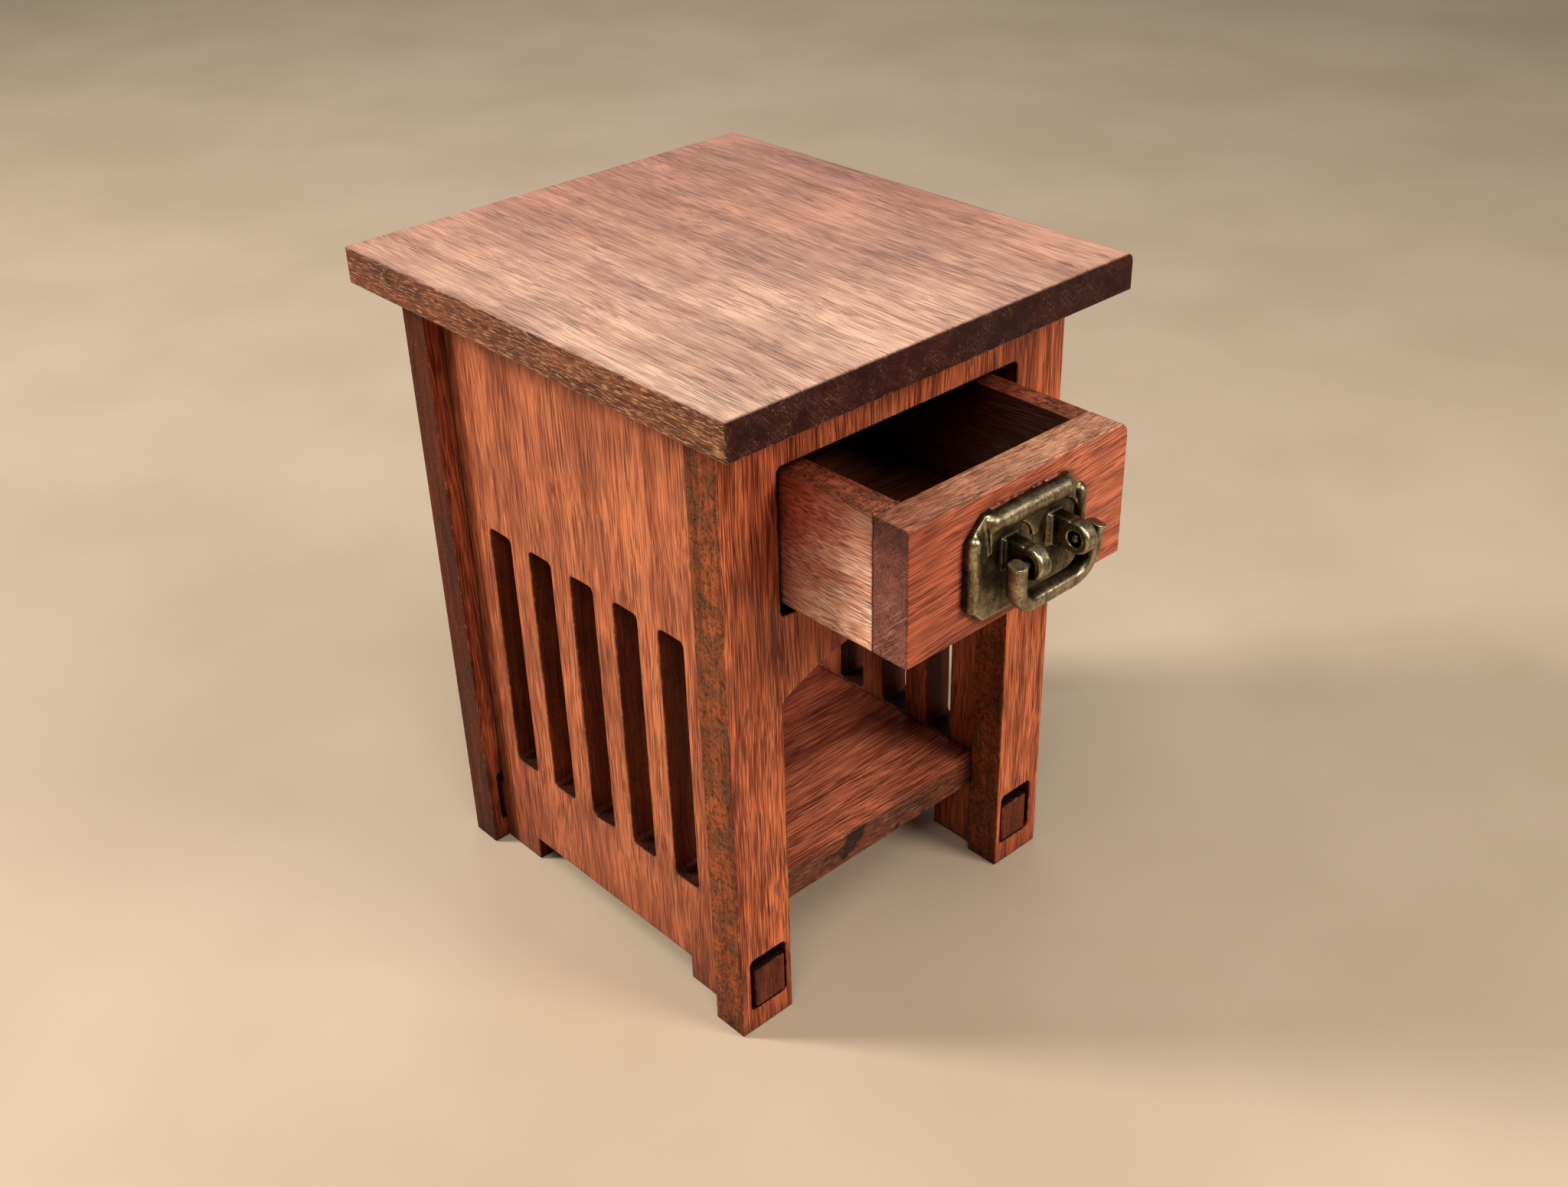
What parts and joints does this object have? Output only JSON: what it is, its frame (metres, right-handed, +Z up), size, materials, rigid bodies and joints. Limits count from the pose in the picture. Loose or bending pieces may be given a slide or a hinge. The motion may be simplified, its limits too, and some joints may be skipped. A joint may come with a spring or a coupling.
{
  "type": "dolls house nightstand",
  "caption": "Miniature wooden nightstand with slatted sides, an arched front, an open shelf bay and an inset drawer with a swinging metal bail pull.",
  "frame": {"origin": "floor plane, under the centre of the top panel", "axes": "+Z up from the floor, -Y out of the drawer side, +X to the right of someone facing the drawer"},
  "size_m": [0.0406, 0.0565, 0.057],
  "materials": {
    "top_wood": "satin stained, lighter, grain front to back",
    "frame_wood": "satin stained red-brown, upright grain",
    "side_wood": "satin stained orange-brown, upright grain",
    "shelf_wood": "satin stained dark red-brown",
    "drawer_front_wood": "satin stained orange-red, grain across",
    "drawer_wood": "satin stained, dark inside",
    "antique_brass": "antiqued, dark in the recesses, rubbed bright on the high spots"
  },
  "bodies": {
    "carcass": {"top_panel": "top_wood", "front_frame": "frame_wood", "back_frame": "frame_wood", "left_side_panel": "side_wood", "right_side_panel": "side_wood", "lower_shelf": "shelf_wood", "drawer_support": "shelf_wood"},
    "drawer": {"drawer_front": "drawer_front_wood", "drawer_left_side": "drawer_wood", "drawer_right_side": "drawer_wood", "drawer_back": "drawer_wood", "drawer_bottom": "drawer_wood", "pull_backplate": "antique_brass"},
    "bail": {"pull_bail": "antique_brass"}
  },
  "joints": [
    {"name": "drawer_slide", "type": "slide", "parent": "carcass", "child": "drawer", "axis": [0, -1, 0], "range_m": [-0.012, 0.014]},
    {"name": "bail_hinge", "type": "hinge", "parent": "drawer", "child": "bail", "pos_m": [-0.0003, -0.03295, 0.04415], "axis": [-1, 0, 0], "range_deg": [-12, 185]}
  ]
}
